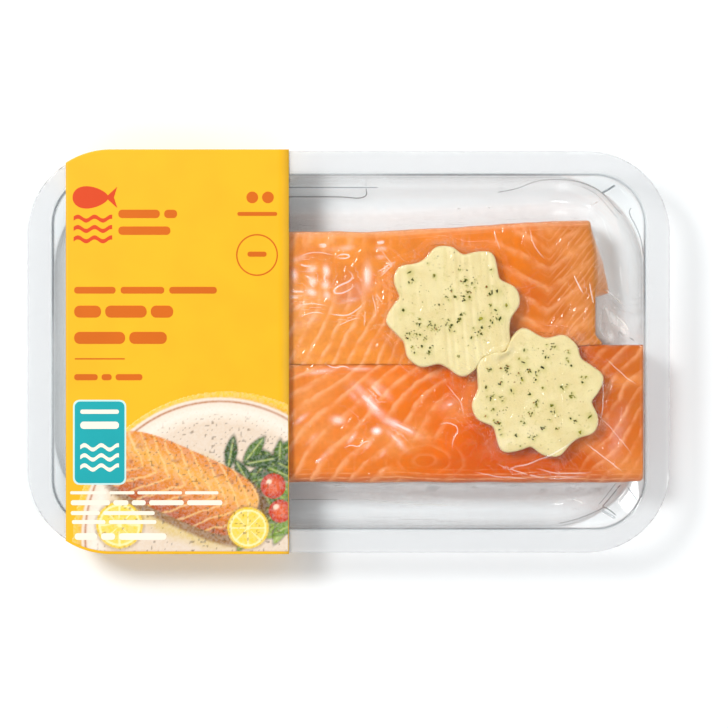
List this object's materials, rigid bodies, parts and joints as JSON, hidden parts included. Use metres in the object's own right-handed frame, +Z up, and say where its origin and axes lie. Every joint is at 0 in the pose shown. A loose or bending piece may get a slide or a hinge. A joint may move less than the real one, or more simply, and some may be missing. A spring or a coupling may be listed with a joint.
{
  "type": "pack of salmon fillet",
  "caption": "Clear flanged tray of salmon fillet portions with scalloped herb butter medallions under a clear skin film, with a printed label band round one end.",
  "frame": {"origin": "middle of the pack's footprint, at the height of the surface it stands on", "axes": "+X along the pack towards the end away from the label, +Y across it towards the back portion, +Z up out of the tray"},
  "size_m": [0.23, 0.1448, 0.0278],
  "materials": {
    "clear_tray": "clear glossy thermoformed plastic",
    "clear_film": "clear glossy thin film, finely creased",
    "salmon": "moist raw fish with pale fat lines, slightly translucent",
    "herb_butter": "soft pale yellow butter flecked with dark green herbs",
    "label": "smooth coated paper, warm yellow, printed"
  },
  "bodies": {
    "root": {"tray": "clear_tray", "skin_film": "clear_film", "salmon_back": "salmon", "salmon_front": "salmon", "butter_back": "herb_butter", "butter_front": "herb_butter", "label": "label"}
  },
  "joints": []
}
